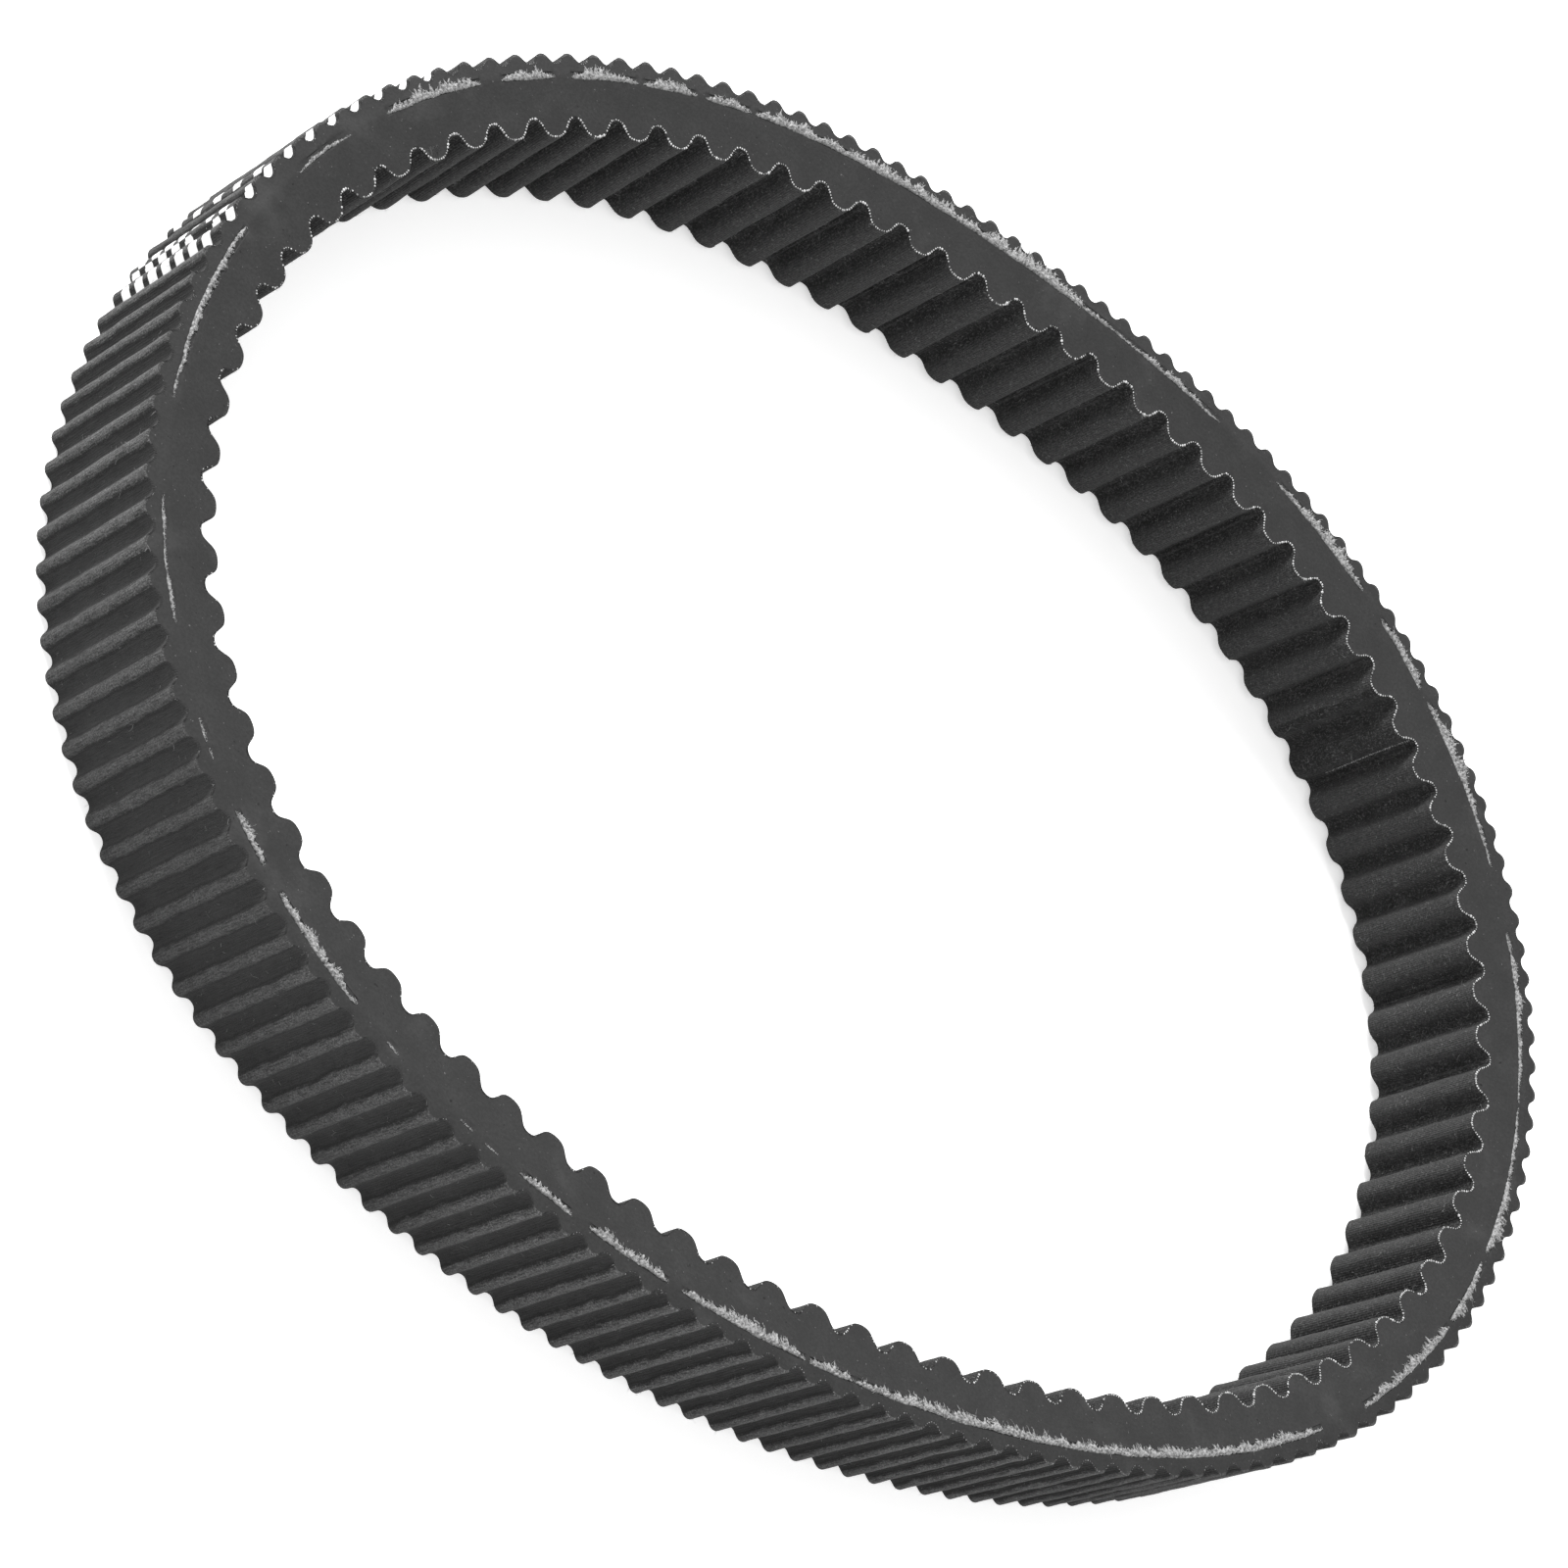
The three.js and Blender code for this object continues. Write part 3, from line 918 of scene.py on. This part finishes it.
def scuff(name, roots, run, rng, material):
    """A small rubbed patch: a row of short pale threads that follow run from their roots."""
    steps = np.stack([run + rng.normal(0, 0.12, (SCUFF_THREADS, 3)) * [1, 1, 0.2] for _ in range(3)], 1)
    length = rng.uniform(0.5, 0.85, (SCUFF_THREADS, 1, 1))
    threads = fibres(name, roots, steps * length, rng.uniform(0.06, 0.1, SCUFF_THREADS))
    finish(threads, material)


def build_flank_scuff(material):
    """A scuff on the top flank, across one of its inner cogs."""
    rng = np.random.default_rng(81)
    share = scuff_shares(0.9155, 3.4)
    offset = -8.6 + rng.normal(0, 0.2, SCUFF_THREADS)
    normal, _ = directions(share)
    run = np.concatenate([-normal, np.full((SCUFF_THREADS, 1), -FLANK_SLOPE)], 1)
    scuff("flank_scuff", place(share, offset, half_width(offset) + 0.02), run, rng, material)


def build_facing_scuff(material):
    """A scuff on the inner facing, downwards from near the top flank."""
    rng = np.random.default_rng(82)
    share = scuff_shares(0.8278, 4.0)
    height = 14.4 + rng.normal(0, 0.25, SCUFF_THREADS)
    run = np.concatenate([np.zeros((SCUFF_THREADS, 2)), -np.ones((SCUFF_THREADS, 1))], 1)
    scuff("facing_scuff", place(share, inner_edge(share) - 0.04, height), run, rng, material)


def ink_square(start, end, centre):
    """A printed square's points and quads, with a base: between two places in cogs, about a height."""
    along, across = 9, 7
    half_side = 1.25
    share = (OUTER_PHASE + np.linspace(start, end, along))[:, None] / OUTER_COGS
    u, v = np.abs(np.linspace(-1, 1, along))[:, None], np.abs(np.linspace(-1, 1, across))[None]
    lift = np.where(u ** 8 + v ** 8 > 1.05, -0.06, 0.03)  # its corners dip into the fabric
    level = np.broadcast_to(centre + np.linspace(-1, 1, across) * half_side, lift.shape)
    top = place(share, outer_edge(share) + lift, level)
    below = place(share, outer_edge(share) - 0.14, level)
    i, j = np.meshgrid(np.arange(along - 1), np.arange(across - 1), indexing="ij")
    a = i * across + j
    upper = np.stack([a, a + across, a + across + 1, a + 1], -1).reshape(-1, 4)
    size = along * across
    rim = np.concatenate([
        np.arange(across), np.arange(2 * across - 1, size, across),
        np.arange(size - 2, size - across - 1, -1), np.arange(size - 2 * across, 0, -across),
    ])
    after = np.roll(rim, -1)
    wall = np.stack([rim, after, after + size, rim + size], 1)
    points = np.concatenate([top.reshape(-1, 3), below.reshape(-1, 3)])
    return points, np.concatenate([upper, upper[:, ::-1] + size, wall[:, ::-1]])


def build_ink(material):
    """Plain white squares on the outer cogs: a checker, a row, and one square in each valley beyond."""
    first_cog, last_cog = 134, 144
    # each row's start and end in cogs, its nearest square's height, the squares' spacing, and their number
    rows = [
        (last_cog - 1.14, last_cog - 0.86, 12.9, 4.3, 7),
        (last_cog - 0.84, last_cog - 0.55, 15.0, 4.3, 8),
        (last_cog + 0.04, last_cog + 0.4, 12.9, 4.3, 7),
        (last_cog - 3.14, last_cog - 2.8, 12.0, 6.4, 5),
    ]
    rows += [(cog + 0.15, cog + 0.58, 15.2, 4.3, 1) for cog in range(first_cog, last_cog - 1)]
    points, faces, first_point = [], [], 0
    for start, end, nearest, spacing, number in rows:
        for lane in range(number):
            square, quads = ink_square(start, end, nearest - lane * spacing)
            points.append(square)
            faces.append(quads + first_point)
            first_point += len(square)
    checker = new_object("marking_checker", np.concatenate(points), np.concatenate(faces))
    finish(checker, material)


# ---- stage, light and camera ----
def build_stage():
    bpy.ops.mesh.primitive_grid_add(x_subdivisions=8, y_subdivisions=8, size=8.0, location=(0, 0, 0))
    floor = bpy.context.object
    floor.name = "floor"
    floor.data.materials.append(floor_material("pale_floor", grey=0.88, glow=0.5))


def add_light(name, place_m, size, power):
    """A round soft light that faces the middle of the loop. Its place and size are in metres."""
    light = bpy.data.lights.new(name, "AREA")
    light.shape = "DISK"
    light.size = size
    light.energy = power
    thing = bpy.data.objects.new(name, light)
    bpy.context.scene.collection.objects.link(thing)
    thing.location = place_m
    thing.rotation_euler = (Vector((0, 0, 0.02)) - Vector(place_m)).to_track_quat("-Z", "Y").to_euler()


def build_lights():
    world = bpy.data.worlds.new("studio")
    bpy.context.scene.world = world
    world.use_nodes = True
    background = world.node_tree.nodes["Background"]
    background.inputs["Color"].default_value = (1, 1, 1, 1)
    background.inputs["Strength"].default_value = 0.85
    add_light("key", (0.7, -1.0, 0.8), size=0.6, power=34)
    add_light("fill", (0.5, 0.9, 1.2), size=1.2, power=2)


def build_camera():
    """Looks down on the flank, rolled so that the loop's long axis runs from upper left to lower right."""
    aim = Vector((0.0121, 0.0008, 0.0084))
    azimuth, elevation, roll = (math.radians(a) for a in (43.80, 46.22, 66.65))
    distance = 0.8147
    back = Vector((math.cos(elevation) * math.cos(azimuth), math.cos(elevation) * math.sin(azimuth),
                   math.sin(elevation)))
    level = (-back).cross(Vector((0, 0, 1))).normalized()
    upright = level.cross(-back)
    right = level * math.cos(roll) + upright * math.sin(roll)
    up = upright * math.cos(roll) - level * math.sin(roll)
    camera = bpy.data.objects.new("camera", bpy.data.cameras.new("camera"))
    camera.data.lens = 100
    camera.data.sensor_width = 36
    turn = Matrix((right, up, back)).transposed().to_4x4()
    camera.matrix_world = Matrix.Translation(aim + back * distance) @ turn
    bpy.context.scene.collection.objects.link(camera)
    bpy.context.scene.camera = camera


def main():
    build_camera()
    build_stage()
    build_lights()
    far_streaks = random_streaks(5)
    rubber = rubber_material("belt_rubber", 0.031)
    adhesion = rubber_material("adhesion_rubber", 0.032)
    inner_fabric = inner_facing_material("inner_facing", 0.0155)
    outer_fabric = outer_facing_material("outer_facing", 0.023, 0.078)
    aramid = aramid_material("aramid_cord", 0.31)
    fibre = aramid_material("loose_fibre", 0.38)
    ends = thread_end_material("thread_ends", 0.56)
    dull_ends = thread_end_material("outer_thread_ends", 0.28)
    lint = thread_end_material("lint", 0.2)

    build_undercord(rubber)
    build_overcord(rubber)
    build_adhesion(adhesion, NEAR_STREAKS, far_streaks)
    build_cord(aramid)
    build_felt("matted_cord_top", 1, NEAR_STREAKS, 25, aramid)
    build_felt("matted_cord_under", -1, far_streaks, 26, aramid)
    build_tufts("bare_cord_top", 1, NEAR_STREAKS, 21, aramid)
    build_tufts("bare_cord_under", -1, far_streaks, 22, aramid)
    build_fuzz("cord_fuzz_top", 1, NEAR_STREAKS, 31, fibre, 2.6)
    build_fuzz("cord_fuzz_under", -1, far_streaks, 32, fibre, 2.0)
    build_facing("inner_facing_skin", INNER_COGS * 40, inner_edge, True, inner_fabric,
                 "inner_fabric_facing", 41)
    build_facing("outer_facing_skin", OUTER_COGS * 20, outer_edge, False, outer_fabric,
                 "outer_fabric_facing", 42)
    build_thread_ends("inner_thread_ends", inner_edge, 0.25, 0.58, 0.195, inner_ends_missing, 51,
                      ends)
    build_thread_ends("outer_thread_ends", outer_edge, -0.22, 0.55, 0.11, outer_ends_missing, 52,
                      dull_ends)
    build_edge_fray("inner_edge_fray", inner_edge, -1, 700, 53, dull_ends)
    build_edge_fray("outer_edge_fray", outer_edge, 1, 500, 54, dull_ends)
    build_lint("inner_lint", inner_edge, -1, 3200, 61, lint)
    build_lint("outer_lint", outer_edge, 1, 1400, 62, lint)
    build_lap(inner_fabric)
    build_lap_fray(dull_ends)
    build_flank_scuff(lint)
    build_facing_scuff(lint)
    build_ink(ink_material("marking_ink"))
    bpy.context.scene.view_settings.view_transform = "Standard"


main()
